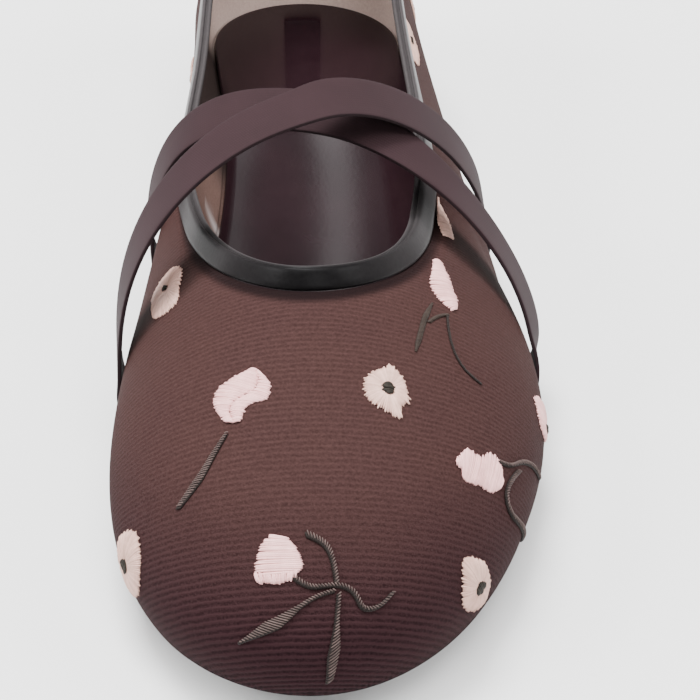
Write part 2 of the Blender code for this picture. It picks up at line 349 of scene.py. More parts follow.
def resampled(path, run, count):
    """A path read again at even distances, on the smooth curve through its points."""
    even = np.linspace(0, run[-1], count)
    return np.stack([natural_spline(run, values, even) for values in path.T], -1)


def closed_sheet(outside, inside):
    """Points or marks of a sheet with a thickness: up its outside and back down its inside."""
    return np.concatenate([outside, inside[:, ::-1]], axis=1)


edge_angle = np.linspace(0, 2 * np.pi, CLOTH_STEPS_ROUND, endpoint=False)
low_rises = np.linspace(0, EDGE_FROM, CLOTH_STEPS_UP)
edge_rises = np.linspace(EDGE_FROM, 1, EDGE_STEPS_UP)[1:]
angle, rise = np.meshgrid(edge_angle, np.concatenate([low_rises, edge_rises]), indexing="ij")
behind = smooth_step((TAPE_EASE_FROM - np.abs(angle - np.pi)) / TAPE_EASE_REACH)
trough_depth = TROUGH_DEPTH + (TAPE_TROUGH_DEPTH - TROUGH_DEPTH) * behind
trough = -trough_depth * smooth_step((rise - TROUGH_FROM) / (1 - TROUGH_FROM))
cloth_points = closed_sheet(off_wall(angle, rise, trough), off_wall(angle, rise, trough - CLOTH_THICKNESS))
# Darker towards the toe: partly the cloth's own deeper tone, partly painted shade.
toe_share = smooth_step((TOE_DARK_FROM - rise) / TOE_DARK_REACH) * np.cos(angle / 2) ** TOE_DARK_POWER
gather = smooth_step(1 - rise / GATHER_TO) * np.cos(angle / 2) ** GATHER_POWER
# Painted shadow: the cloth is darkened just below the binding, most at the throat.
binding_shadow = smooth_step((rise - BINDING_SHADOW_FROM) / BINDING_SHADOW_REACH) * np.sqrt(np.clip(np.cos(angle), 0, 1))
round_run = run_of(wall(angle[:, 0], rise[:, 0]))[:, None]
cloth_marks = {
    "rib": rib_distance(cloth_points),
    "toe": closed_sheet(toe_share, toe_share),
    "gather": closed_sheet(gather, gather),
    "round": round_run,
    "binding_shadow": closed_sheet(binding_shadow, binding_shadow),
}
upper_cloth = add_piece(
    "upper_cloth", cloth_points, "upper", loop_rows=True, marks=cloth_marks
)

# %% [markdown]
# A thin lining is glued inside the cloth, pale at the front and paler at the heel, partly with painted
# light, and darkened with painted shade between.
# Its foot is turned in under the insole, which closes the shoe to the light.
# A pale spot of tacking stands on its inner side, low down beside the insole.

# %% Lining
LINING_OUTSIDE = -0.65
LINING_INSIDE = -1.2
HEEL_LINING_FROM = 0.87
HEEL_LINING_REACH = 0.08
LINING_SHADE_FROM = 0.62
LINING_SHADE_REACH = 0.06
TURN_IN = np.array([1.0, 5.0, 5.0, 0.7])
TURN_IN_HEIGHT = np.array([0.25, 0.25, 0.1, 0.1])
TACKING_LINE = np.array([[-28.0, 20.8, 12.8], [-25.8, 18.8, 7.5]])
TACKING_WIDTH = 1.2
TACKING_FAINTEST = 0.4
TACKING_CORE = 0.6

lining_points = closed_sheet(
    off_wall(angle, rise, trough + LINING_OUTSIDE),
    off_wall(angle, rise, trough + LINING_INSIDE),
)
foot_angle = angle[:, :1]
turn_plan = sole_line(foot_angle) - outward(sole_line, foot_angle) * TURN_IN[:, None]
turn_points = with_height(turn_plan, sole_top(turn_plan[..., 1]) + TURN_IN_HEIGHT)
lining_points = np.concatenate([lining_points, turn_points], axis=1)
# Paler at the heel: partly the lining's own pale colour, partly painted light on the heel's inner wall.
heel_tone_and_light_share = smooth_step((share_of(foot_angle) - HEEL_LINING_FROM) / HEEL_LINING_REACH)
# Painted shade: the lining between the front and the heel is darkened.
lining_shade_share = smooth_step((share_of(foot_angle) - LINING_SHADE_FROM) / LINING_SHADE_REACH)
tacking_way = TACKING_LINE[1] - TACKING_LINE[0]
passed = ((lining_points - TACKING_LINE[0]) @ tacking_way / (tacking_way @ tacking_way)).clip(0, 1)
beside = np.linalg.norm(lining_points - TACKING_LINE[0] - passed[..., None] * tacking_way, axis=-1)
strength = TACKING_FAINTEST + (1 - TACKING_FAINTEST) * passed
tacking = strength * (1 - smooth_step(beside / TACKING_WIDTH - TACKING_CORE))
lining_marks = {"heel": heel_tone_and_light_share, "dark": lining_shade_share, "tacking": tacking}
lining = add_piece("lining", lining_points, loop_rows=True, marks=lining_marks)

# %% [markdown]
# The top edge is bound with a strip of glossy leather that is folded over it.
# The strip is a rounded bar run round the top line and carried on in the wall's own direction.
# A groove along its top parts the outer band from a thin inner bead, and a flap laps over the cloth.
# At the throat the bar stands up more steeply than the cloth in front of it. The leather is black there,
# with a painted highlight along the bead, and painted grey sheen along the sides.

# %% Collar binding
BINDING_HEIGHT = 4.6
BINDING_THICKNESS = 2.6
BINDING_SQUARENESS = 4.0
BINDING_STEPS = 72
BINDING_FINE_STEPS = 400
BINDING_TOP_REACH = 1.5
EDGE_STEP = 0.001
BINDING_STAND_DEG = 40.0
BINDING_RAISED = 0.5
BINDING_OVERLAP = 1.4
BINDING_FLAP = 0.3
GROOVE_AT = 0.1
GROOVE_WIDTH = 0.32
GROOVE_DEPTH = 0.8
BEAD_RAISED = 0.4
BEAD_HIGHLIGHT_AT = -0.9
BEAD_HIGHLIGHT_WIDTH = 0.4
WALL_THICKNESS = 1.2


def bar_profile(width, height, squareness, steps):
    """A rounded bar's section: |x|^n + |y|^n = 1 scaled to its width and height."""
    turn = np.linspace(0, 2 * np.pi, steps, endpoint=False) + np.pi / steps
    power = 2 / squareness
    across = np.sign(np.cos(turn)) * np.abs(np.cos(turn)) ** power * width / 2
    up = np.sign(np.sin(turn)) * np.abs(np.sin(turn)) ** power * height / 2
    return across, up


edge_rise = np.ones_like(edge_angle)
edge_normal = wall_normal(edge_angle, edge_rise)
edge_upward = unit(wall(edge_angle, edge_rise) - wall(edge_angle, edge_rise - EDGE_STEP))
binding_middle = off_wall(edge_angle, edge_rise, np.full_like(edge_angle, -WALL_THICKNESS / 2))
front_share = np.clip(np.cos(edge_angle), 0, 1)[:, None] ** 2
binding_middle = binding_middle + edge_upward * (GAP + BINDING_HEIGHT / 2)
binding_middle = binding_middle + edge_normal * front_share * BINDING_RAISED
stand_up = np.radians(BINDING_STAND_DEG) * front_share
band_out = edge_normal * np.cos(stand_up) - edge_upward * np.sin(stand_up)
band_up = edge_upward * np.cos(stand_up) + edge_normal * np.sin(stand_up)
fine = bar_profile(BINDING_THICKNESS, BINDING_HEIGHT, BINDING_SQUARENESS, BINDING_FINE_STEPS)
fine = np.stack(fine, -1)
fine = np.concatenate([fine, fine[:1]])
out, up = resampled(fine, run_of(fine), BINDING_STEPS + 1)[:-1].T
on_top = smooth_step(up / BINDING_TOP_REACH)
groove = GROOVE_DEPTH * np.exp(-(((out - GROOVE_AT) / GROOVE_WIDTH) ** 2))
up = up + on_top * (BEAD_RAISED * (out < GROOVE_AT) - groove)
flap = BINDING_OVERLAP * smooth_step((out - WALL_THICKNESS / 2) / BINDING_FLAP) * (up < 0)
up = up - flap * (1 - front_share)
binding_points = binding_middle[:, None] + band_out[:, None] * out[:, None]
binding_points = binding_points + band_up[:, None] * up[..., None]
# Painted highlight: a pale line along the top of the inner bead at the throat.
bead_highlight = on_top * np.exp(-(((out - BEAD_HIGHLIGHT_AT) / BEAD_HIGHLIGHT_WIDTH) ** 2))
# Painted sheen: away from the throat the leather is painted grey for the light it catches.
binding_marks = {"painted_sheen": 1 - front_share, "bead_highlight": bead_highlight * front_share}
collar_roll = add_piece(
    "collar_roll", binding_points, "collar_binding", loop_rows=True, marks=binding_marks
)

# %% [markdown]
# The outsole, heel and insole are cut from sheet along the sole line, with their edges trimmed round.
# One function makes such a slab: down the rim on the outer side, across the underside, up the inner rim
# and back across the top, from the toe to the heel.

# %% Slabs along the sole
SLAB_STEPS_ALONG = 150
SLAB_STEPS_ACROSS = 24


def round_rim(thickness, radius, top_inset, foot_inset, steps=6):
    """Inset and drop of a slab's edge from top to underside: a straight trim, both corners rounded."""
    turn = np.linspace(0, np.pi / 2, steps)
    round_in = radius * (1 - np.sin(turn))
    round_down = radius * (1 - np.cos(turn))
    drop = np.concatenate([round_down, thickness - round_down[::-1]])
    trim = top_inset + (foot_inset - top_inset) * drop / thickness
    return trim + np.concatenate([round_in, round_in[::-1]]), drop


def slab_points(share_from, rim, top, steps=SLAB_STEPS_ALONG):
    """Closed sections across the sole, from a share to the heel, at a top height for each y."""
    angles = np.linspace(np.arccos(1 - 2 * share_from), np.pi, steps)
    inset, drop = rim
    plan = {}
    for side, turn in (("outer", angles), ("inner", -angles)):
        edge = sole_line(turn)[:, None]
        plan[side] = edge - outward(sole_line, turn)[:, None] * inset[None, :, None]
    across = np.linspace(0, 1, SLAB_STEPS_ACROSS)[1:-1][None, :, None]
    under = plan["outer"][:, -1:] + (plan["inner"][:, -1:] - plan["outer"][:, -1:]) * across
    over = plan["inner"][:, :1] + (plan["outer"][:, :1] - plan["inner"][:, :1]) * across
    loop = np.concatenate([plan["outer"], under, plan["inner"][:, ::-1], over], axis=1)
    count = SLAB_STEPS_ACROSS - 2
    falls = np.concatenate([drop, np.full(count, drop[-1]), drop[::-1], np.full(count, drop[0])])
    return with_height(loop, top(loop[..., 1]) - falls)


SOLE_TOP_INSET = 0.8
SOLE_FOOT_INSET = 3.4
SOLE_CORNER = 0.5
sole_rim = round_rim(SOLE_THICKNESS, SOLE_CORNER, SOLE_TOP_INSET, SOLE_FOOT_INSET)
outsole_points = slab_points(0, sole_rim, sole_top)
rubber_sole = add_piece("rubber_sole", outsole_points, "outsole")

# %% Heel and insole
HEEL_FROM = 0.765
HEEL_INSET = 3.8
HEEL_CORNER = 0.7
HEEL_STEPS_ALONG = 60
INSOLE_THICKNESS = 2.2
INSOLE_INSET = 1.8
INSOLE_CORNER = 0.6
CAP_STEPS = 4


def heel_top(y):
    return np.full_like(y, HEEL_LIFT - GAP)


def insole_top(y):
    return sole_top(y) + GAP + INSOLE_THICKNESS


def capped(points):
    """Points with each open end drawn in to its middle, so that the shape is closed."""
    shrink = np.linspace(0, 1, CAP_STEPS, endpoint=False)[:, None, None]
    first = points[:1].mean(axis=1, keepdims=True)
    last = points[-1:].mean(axis=1, keepdims=True)
    head = first + (points[:1] - first) * shrink
    tail = last + (points[-1:] - last) * shrink[::-1]
    return np.concatenate([head, points, tail])


heel_rim = round_rim(HEEL_LIFT - GAP, HEEL_CORNER, HEEL_INSET, HEEL_INSET)
heel_points = slab_points(HEEL_FROM, heel_rim, heel_top, HEEL_STEPS_ALONG)
heel_lift = add_piece("heel_lift", capped(heel_points), "heel")
insole_rim = round_rim(INSOLE_THICKNESS, INSOLE_CORNER, INSOLE_INSET, INSOLE_INSET)
insole_points = slab_points(0, insole_rim, insole_top)
insole_board = add_piece("insole_board", insole_points, "insole")

# %% [markdown]
# A dark tape covers the back seam inside the heel, one width all the way up.

# %% Back tape
TAPE_WIDTH = 11.0
TAPE_THICKNESS = 0.7
TAPE_SQUARENESS = 6.0
TAPE_FROM = 0.14
TAPE_TO = 0.985
TAPE_STEPS_UP = 40
TAPE_STEPS_ROUND = 32


def tape_points(step=0.02):
    """A flat bar's section carried up the middle of the heel wall, bent to the wall across its width."""
    rises = np.linspace(TAPE_FROM, TAPE_TO, TAPE_STEPS_UP)
    middle = np.full_like(rises, np.pi)
    beside = wall(middle + step, rises) - wall(middle - step, rises)
    per_angle = np.linalg.norm(beside, axis=-1) / (2 * step)
    across, depth = bar_profile(TAPE_WIDTH, TAPE_THICKNESS, TAPE_SQUARENESS, TAPE_STEPS_ROUND)
    angles = np.pi + across[None] / per_angle[:, None]
    stand = -(WALL_THICKNESS + GAP + TAPE_THICKNESS / 2) + np.broadcast_to(depth, angles.shape)
    return off_wall(angles, np.broadcast_to(rises[:, None], angles.shape), stand)


back_cover = add_piece("back_cover", capped(tape_points()), "back_strip")

# %% [markdown]
# Two woven elastics cross over the instep. Each springs from the widest part of the wall and crosses as a
# rounded arch, and its two legs run down beside the wall to the sole.
# Both edges of each arch were fitted, and the band is laid along their middle at one width.

# %% Elastics
STRAP_WIDTH = 12.0
STRAP_THICKNESS = 1.0
STRAP_SQUARENESS = 7.0
STRAP_SPRING_RISE = 0.4
STRAP_FOOT_RISE = 0.1
STRAP_FOOT_STAND = 1.3
STRAP_EASE_PASSES = 3
STRAP_SWEEP_PASSES = 24
STRAP_LEG_STEPS = 5
STRAP_ARCH_STEPS = 40
STRAP_STEPS_ALONG = 220
STRAP_STEPS_ROUND = 48
STRAP_EDGES = {
    "strap_over": {
        "inner_angle": [58.1, 63.8],
        "outer_angle": [85.6, 89.8],
        "inner_stand": [1.1, 3.6],
        "outer_stand": [1.1, 2.3],
        "inner_turn": [5.0, 5.0],
        "outer_turn": [6.5, 6.5],
        "height": [43.6, 43.7],
        "lean": [4.1, 8.3],
        "inner_power": [2.47, 2.54],
        "outer_power": [1.61, 1.62],
    },
    "strap_under": {
        "inner_angle": [77.7, 82.9],
        "outer_angle": [62.0, 67.2],
        "inner_stand": [2.2, 5.6],
        "outer_stand": [1.1, 4.9],
        "inner_turn": [6.5, 6.5],
        "outer_turn": [5.0, 5.0],
        "height": [34.6, 37.5],
        "lean": [17.4, 18.8],
        "inner_power": [2.84, 2.49],
        "outer_power": [1.84, 1.55],
    },
}


def eased(path, passes):
    """A path with the bends between its stretches softened and its ends kept."""
    path = path.copy()
    for _ in range(passes):
        path[1:-1] = (path[:-2] + 2 * path[1:-1] + path[2:]) / 4
    return path


def strap_edge(row):
    """One edge of an elastic: up the inner wall, over as a rounded arch, and down the outer wall."""
    spring_angles = np.radians([360 - row["inner_angle"], row["outer_angle"]])
    stands = np.array([row["inner_stand"], row["outer_stand"]])
    springs = off_wall(spring_angles, np.full(2, STRAP_SPRING_RISE), stands)
    turn = np.linspace(0, np.pi, STRAP_ARCH_STEPS + 1)
    power = 2 / np.where(np.cos(turn) > 0, row["inner_power"], row["outer_power"])
    along = -np.sign(np.cos(turn)) * np.abs(np.cos(turn)) ** power
    lift = np.abs(np.sin(turn)) ** power
    middle = springs.mean(axis=0)
    half = (springs[1] - springs[0]) / 2
    top = np.array([0, row["lean"], row["height"]])
    arch = middle + along[:, None] * half + lift[:, None] * top
    fall = np.linspace(0, 1, STRAP_LEG_STEPS + 1)[1:]
    rises = STRAP_SPRING_RISE + (STRAP_FOOT_RISE - STRAP_SPRING_RISE) * fall
    legs = []
    turns = np.radians([-row["inner_turn"], row["outer_turn"]])
    for spring_angle, stand, leg_turn in zip(spring_angles, stands, turns):
        swing = spring_angle + leg_turn * fall
        legs.append(off_wall(swing, rises, stand + (STRAP_FOOT_STAND - stand) * fall))
    path = eased(np.concatenate([legs[0][::-1], arch, legs[1]]), STRAP_EASE_PASSES)
    path[:, 1] = eased(path[:, 1], STRAP_SWEEP_PASSES)
    return path


def strap_points(table):
    """A flat woven bar's section carried along the middle of the front and rear edges."""
    front, rear = (strap_edge({key: table[key][place] for key in table}) for place in (0, 1))
    run = run_of((front + rear) / 2)
    middle = resampled((front + rear) / 2, run, STRAP_STEPS_ALONG)
    across = resampled(rear - front, run, STRAP_STEPS_ALONG)
    along = unit(np.gradient(middle, axis=0))
    across = unit(across - along * (across * along).sum(axis=-1, keepdims=True))
    normal = np.cross(across, along)
    wide, thick = bar_profile(STRAP_WIDTH, STRAP_THICKNESS, STRAP_SQUARENESS, STRAP_STEPS_ROUND)
    points = middle[:, None] + across[:, None] * wide[:, None] + normal[:, None] * thick[:, None]
    length = np.pad(np.linspace(0, run[-1], STRAP_STEPS_ALONG), CAP_STEPS, mode="edge")
    return capped(points), length, wide


elastics = {}
for solid, name in (("strap_over", "elastic_over"), ("strap_under", "elastic_under")):
    points, length, wide = strap_points(STRAP_EDGES[solid])
    strap_marks = {"along": length[:, None], "across": wide[None]}
    elastics[name] = add_piece(name, points, solid, marks=strap_marks)

# %% [markdown]
# Small flowers, buds and stems are embroidered on the cloth in satin stitch: threads laid side by side from
# one edge of a petal to the other. They stand proud of the cloth and leave a toothed edge.
# A bump in the material could not give that edge, so every stitch is a thin tube that lies on the wall.
# A motif is drawn in millimetres as it looks square on: to the right, and back towards the heel.

# %% Laying a drawing on the wall
LAY_ROUNDS = 6
LAY_STEP = 0.0005
LAY_REACH = 0.1
LAY_LOWEST = 0.01
LAY_HIGHEST = 0.985


def lay(spot, drawn):
    """Angle and rise of drawn points round a spot, by Newton steps to where each is seen square on."""
    turn = np.radians(spot[0])
    height = np.array(float(spot[1]))
    middle = wall(turn, height)
    normal = wall_normal(turn, height)
    back = unit(np.array([0, 1, 0]) - normal * normal[1])
    axes = np.stack([np.cross(back, normal), back], -1)
    angle = np.full(drawn.shape[:-1], turn)
    rise = np.full(drawn.shape[:-1], height)
    for _ in range(LAY_ROUNDS):
        here = wall(angle, rise)
        miss = drawn - (here - middle) @ axes
        by_angle = (wall(angle + LAY_STEP, rise) - here) @ axes / LAY_STEP
        by_rise = (wall(angle, rise + LAY_STEP) - here) @ axes / LAY_STEP
        move = np.linalg.solve(np.stack([by_angle, by_rise], -1), miss[..., None])[..., 0]
        move = np.clip(move, -LAY_REACH, LAY_REACH)
        angle = angle + move[..., 0]
        rise = np.clip(rise + move[..., 1], LAY_LOWEST, LAY_HIGHEST)
    return angle, rise


# %% One stitch and many
THREAD_RADIUS = 0.25
THREAD_SIDES = 5
THREAD_STEPS = np.array([0, 0.05, 0.22, 0.5, 0.78, 0.95, 1])
THREAD_GIRTH = np.array([0, 0.75, 1, 1, 1, 0.75, 0])
THREAD_SPACING = 0.4
THREAD_STRAY = 0.08
chance = np.random.default_rng(5)


def stitches(spot, starts, ends, pad, lift=0.05, radius=THREAD_RADIUS):
    """Tubes from each start to its end on the wall, lifted evenly and padded up most at half way."""
    drawn = starts[:, None] + (ends - starts)[:, None] * THREAD_STEPS[:, None]
    angle, rise = lay(spot, drawn)
    hump = 4 * THREAD_STEPS * (1 - THREAD_STEPS)
    stray = chance.uniform(0, THREAD_STRAY, (len(starts), 1)) * np.sign(pad)
    middle = off_wall(angle, rise, lift + pad * hump + stray)
    along = unit(np.gradient(middle, axis=1))
    aside = unit(np.cross(along, wall_normal(angle, rise)))
    turn = np.linspace(0, 2 * np.pi, THREAD_SIDES, endpoint=False)[:, None]
    ring = aside[:, :, None] * np.cos(turn) + np.cross(aside, along)[:, :, None] * np.sin(turn)
    points = middle[:, :, None] + ring * (radius * THREAD_GIRTH)[:, None, None]
    length = np.linalg.norm(ends - starts, axis=-1)[:, None] * THREAD_STEPS
    shade = np.broadcast_to(chance.uniform(0, 1, (len(starts), 1)), length.shape)
    return points, length, shade


def add_threads(name, bundles):
    """All the stitches of one colour as one piece: a tube for each thread, closed at its tips."""
    points, length, shade = (np.concatenate(kind) for kind in zip(*bundles))
    count, steps, sides = points.shape[:3]
    tube = grid_faces(steps, sides)
    faces = (np.arange(count)[:, None, None] * steps * sides + tube).reshape(-1, 4)
    marks = {"along": np.repeat(length, sides), "shade": np.repeat(shade, sides)}
    print(name, count, "threads")
    return close_up(name, points.reshape(-1, 3), faces, marks)


# %% Petals, eyes and stems
STITCH_UNEVEN = 0.18
SATIN_TOOTH = 0.2
DAISY_TOOTH = 0.4
STITCH_OVERLAP = 0.12
PETAL_PAD = 0.35
EYE_TURN_DEG = 75.0
EYE_STEPS = 7
EYE_LIFT = 0.3
ROPE_SLANT = 0.9
ROPE_PAD = 0.2


def stitch_ends(count, tooth):
    """How far each end of a row of stitches reaches out: every third further, all a little uneven."""
    teeth = tooth * (np.arange(count) % 3 - 1)[:, None] / 2
    return teeth + STITCH_OVERLAP + chance.uniform(-STITCH_UNEVEN, STITCH_UNEVEN, (2, count, 1))


def along_edge(edge, count):
    edge = np.array(edge, float)
    return resampled(edge, run_of(edge), count)


def satin(spot, first, second, pad=0.3, lift=0.05):
    """Threads from one drawn edge to the other, each end a little uneven."""
    longest = max(run_of(np.array(edge, float))[-1] for edge in (first, second))
    count = int(longest / THREAD_SPACING) + 2
    starts = along_edge(first, count)
    ends = along_edge(second, count)
    slide = chance.uniform(-STITCH_UNEVEN, STITCH_UNEVEN, (count, 1))
    starts = starts + unit(np.gradient(starts, axis=0)) * slide
    way = unit(ends - starts)
    reach = stitch_ends(count, SATIN_TOOTH)
    return stitches(spot, starts - way * reach[0], ends + way * reach[1], pad, lift)


def daisy(spot, edge, eye=(0.0, 0.0), hole=0.7):
    """Threads that spread from a small ring round the eye to a closed drawn edge."""
    closed = np.array([*edge, edge[0]], float)
    count = int(run_of(closed)[-1] / THREAD_SPACING)
    ends = along_edge(closed, count + 1)[:-1]
    way = unit(ends - np.array(eye))
    reach = stitch_ends(count, DAISY_TOOTH)
    return stitches(spot, np.array(eye) + way * (hole - reach[0]), ends + way * reach[1], PETAL_PAD)


def eye_knot(spot, eye=(0.0, 0.0), radius=1.2):
    """A small raised disc of short threads across a circle."""
    turn = np.radians(np.linspace(-EYE_TURN_DEG, EYE_TURN_DEG, EYE_STEPS))
    across = radius * np.stack([np.cos(turn), np.sin(turn)], -1)
    return satin(spot, np.array(eye) + across * [-1, 1], np.array(eye) + across, PETAL_PAD, EYE_LIFT)


def rope(spot, line, widths, shift, lift, radius=THREAD_RADIUS, spacing=THREAD_SPACING):
    """Short slanted threads across a drawn line, so that it looks like a twisted cord or a narrow leaf."""
    line = np.array(line, float) + shift
    run = run_of(line)
    count = int(run[-1] / spacing) + 2
    path = resampled(line, run, count)
    wide = np.interp(np.linspace(0, run[-1], count), run, widths)[:, None]
    along = unit(np.gradient(path, axis=0))
    slant = along[:, ::-1] * [1, -1] + along * ROPE_SLANT
    return stitches(spot, path - slant * wide / 2, path + slant * wide / 2, ROPE_PAD, lift, radius)


# %% [markdown]
# The drawings follow the shoe from the throat to the toe. Each spot is an angle round the shoe and a rise
# up its wall. The last few stand on the quarters that a front view hides, so that the flowers go all round.
# A stem is worked twice: a close dark cord, then a pale thread laid openly over it. The dark cord lies to
# one side, partly a darker thread and partly a painted shadow of the stem.

# %% Flowers
# A row gives the spot, the radius of the eye and the edge
FLOWERS = [
    ((-43.7, 0.869), 0.5,
     [(1, 6.5), (3.5, 4.5), (4.5, -4), (4, -9), (-1, -9), (-4, -3), (-4.5, 2.5), (-2, 5.5)]),
    ((11.4, 0.759), 1.2,
     [(0.4, 5.8), (3.1, 2.8), (3.7, 0.2), (4, -2.2), (2.7, -3.4), (2.6, -5.8),
      (-0.8, -4.8), (-4, -2.6), (-4.7, -0.2), (-3.4, 3), (-0.8, 4.8)]),
    ((-34.0, 0.219), 1.2,
     [(7, 2), (7, 0.5), (4.5, -4), (-1, -6), (-5.5, -1.5), (-4, 2), (-1, 4.5), (3, 5)]),
    ((29.0, 0.195), 1.3,
     [(-7, 1), (-4, 3), (2.5, 3), (6, 1), (4.5, -2), (-1, -5), (-5, -3), (-7.5, 0)]),
    ((105.9, 0.868), 0.9,
     [(0.5, 9), (3.5, 5), (4.5, -2), (2, -8), (-1, -9), (-4, -4), (-4.5, 3), (-2.5, 7)]),
    ((140.0, 0.32), 1.2,
     [(0.5, 6), (4, 3), (5.5, -1), (3, -4.5), (-1, -5.5), (-4.5, -3), (-5.5, 1), (-3, 4.5)]),
    ((-112.0, 0.5), 1.2,
     [(-0.5, 6), (3, 4.5), (5, 0.5), (4, -3.5), (0.5, -5.5), (-3.5, -4), (-5, 0), (-3.5, 4)]),
]
PINK_SPOT = (51.0, 0.4)
PINK_EDGE = [(-5, 1), (-3, 3), (0, 4), (4, 3), (5, -1), (2, -4), (-2, -3.5), (-3.5, -1.5)]
PINK_EYE = (3.0, -0.5)
PINK_EYE_RADIUS = 0.8
SIDE_PETAL_SPOT = (58.6, 0.95)
SIDE_PETAL_EDGES = [[(-4.5, 6), (-3.5, 0), (-2, -7)], [(-3, 7), (0.5, 1), (1, -6)]]

daisies = [daisy(spot, edge) for spot, _, edge in FLOWERS]
daisies.append(satin(SIDE_PETAL_SPOT, *SIDE_PETAL_EDGES))
flowers_cream = add_threads("flowers_cream", daisies)
eyes = [eye_knot(spot, radius=radius) for spot, radius, _ in FLOWERS]
eyes.append(eye_knot(PINK_SPOT, PINK_EYE, PINK_EYE_RADIUS))
flower_eyes = add_threads("flower_eyes", eyes)

# %% Buds
# A row gives the spot and the edges, with a band of satin stitch between each two that follow
BUDS = [
    ((-10.0, 0.751), [
        [(-3, -5), (-5, -1), (-4.5, 2.5), (-2.5, 4), (2.5, 5.5)],
        [(-1.5, -5.5), (-2, -2), (1, 0), (3, 1), (3.5, 5)],
        [(0, -5.5), (1, -3), (3, -2), (4.5, -2), (5.5, 2), (4.5, 3.5)],
    ]),
    ((25.1, 0.515), [
        [(-5.5, -0.5), (-4.5, 1.5), (-3.5, 3), (-0.5, 3), (2, 5), (4, 5), (6, 1.5)],
        [(-5, -1.5), (-4, -1.5), (-3.5, -3), (1, -3), (3, -3), (5.5, -1)],
    ]),
    ((-4.1, 0.418), [
        [(-4.5, -2), (-4, 0.5), (-3.5, 2), (-1.5, 4.5)],
        [(3.5, -2.5), (4, -1.5), (3, 2), (2, 3.5)],
    ]),
    ((-4.1, 0.418), [[(-4.5, -1.6), (-1, -2), (3, -2)], [(-4, -3.5), (-1, -4), (2.5, -3.5)]]),
    ((36.4, 0.927), [
        [(-1, 8), (-2, 2.5), (-3, -2), (-2.5, -5.5), (-0.5, -8), (1, -9)],
        [(1, 8.5), (2, 3.5), (2.5, -1), (3, -4.5), (2.5, -7.5)],
    ]),
    ((150.0, 0.6), [
        [(-4.5, -2), (-4, 0.5), (-3, 2.5), (-1.5, 4.5)],
        [(3.5, -2.5), (4, -1), (3, 2), (2, 4)],
    ]),
    ((-142.0, 0.62), [
        [(-4, -2.5), (-4, 0.5), (-3, 2.5), (-1, 4.5)],
        [(3.5, -2), (4, 0), (3, 2), (2, 3.5)],
    ]),
]

bands = [satin(spot, *pair) for spot, edges in BUDS for pair in zip(edges, edges[1:])]
bands.append(daisy(PINK_SPOT, PINK_EDGE, PINK_EYE))
buds_pink = add_threads("buds_pink", bands)

# %% Stems and leaves
# A row gives the spot, the line and the width at each of the line's points
NO_SHIFT = (0, 0)
CORD_SHADOW_SHIFT = (-0.25, -0.35)
UNDER_LIFT = 0.02
TOP_LIFT = 0.28
TOP_RADIUS = 0.13
TOP_SPACING = 0.55
FAINT_LIFT = 0.0
FAINT_RADIUS = 0.2
STEMS = [
    ((3.3, 0.355), [(-7.5, 1.5), (-4.5, 0), (0, 0.5), (3.5, -1), (5, -3), (6.5, -3), (10, 0)],
     [0.6, 0.6, 0.6, 0.6, 0.6, 0.6, 0.5]),
    ((3.3, 0.355), [(-5.5, 9), (-2, 7), (-1, 5), (0, 1)], [0.9, 0.8, 0.6, 0.6]),
    ((3.3, 0.355), [(-0.5, -0.5), (-3, -1.5), (-6, -3.5), (-10.5, -7), (-15.5, -10)],
     [0.5, 0.5, 0.7, 2.4, 0.3]),
    ((3.3, 0.355), [(0.5, -1), (0.5, -6), (0.5, -11), (0.5, -15.5)], [0.5, 0.6, 1.9, 1]),
    ((25.1, 0.515), [(4.5, 4.5), (7.5, 5.5), (10.5, 8), (20, 11.5)], [0.5, 0.6, 0.8, 0.7]),
    ((25.1, 0.515), [(10.5, 6), (8, 1), (8, -1), (10, -3), (13, -3), (19.5, -1.5)],
     [0.9, 0.8, 0.6, 0.6, 0.8, 1.2]),
    ((-14.1, 0.581), [(5, 6), (2.5, 3), (-1.5, -1.5), (-6, -5)], [0.6, 1, 1.6, 0.9]),
    ((150.0, 0.6), [(0, -3), (1, -7), (0, -11), (-2, -15)], [0.6, 0.6, 1.4, 0.5]),
    ((-142.0, 0.62), [(0, -3), (-1, -7), (0, -11), (2, -15)], [0.6, 0.6, 1.4, 0.5]),
]
FAINT_STEMS = [
    ((36.4, 0.927), [(-3.5, -9.5), (-5, -13.5), (-7, -22), (-7.5, -24.5)], [0.3, 1.2, 1.1, 0.3]),
    ((36.4, 0.927), [(-4.5, -15.5), (-2, -12.5), (0, -11)], [0.7, 0.7, 0.5]),
]
FAINT_LINE = ((36.4, 0.927), [(0, -11), (0.5, -19), (3.5, -24.5), (7, -26)], [0.3, 0.3, 0.3, 0.2])

# The dark cords, shifted to one side, are partly darker thread and partly a painted shadow beside each
# stem.
under_ropes = [rope(*stem, CORD_SHADOW_SHIFT, UNDER_LIFT) for stem in [*STEMS, FAINT_LINE]]
stem_cords_and_shadows = add_threads("stem_cords_and_shadows", under_ropes)
top_ropes = [rope(*stem, NO_SHIFT, TOP_LIFT, TOP_RADIUS, TOP_SPACING) for stem in STEMS]
stems_pale = add_threads("stems_pale", top_ropes)
faint_ropes = [rope(*stem, NO_SHIFT, FAINT_LIFT, FAINT_RADIUS) for stem in FAINT_STEMS]
leaves_moss = add_threads("leaves_moss", faint_ropes)

# %% [markdown]
# Materials are mixed from a few shared effects, each a small shader group that gives one varying number:
# even ridges along a distance, cloudy patches, and leather grain.

# %% Shader helpers
def add_node(tree, kind, inputs=None, **settings):
    """A node with its settings, and its inputs set to a value or joined to another node's socket."""
    node = tree.nodes.new(kind)
    for key, value in settings.items():
        setattr(node, key, value)
    for key, value in (inputs or {}).items():
        if isinstance(value, bpy.types.NodeSocket):
            tree.links.new(value, node.inputs[key])
        else:
            node.inputs[key].default_value = value
    return node


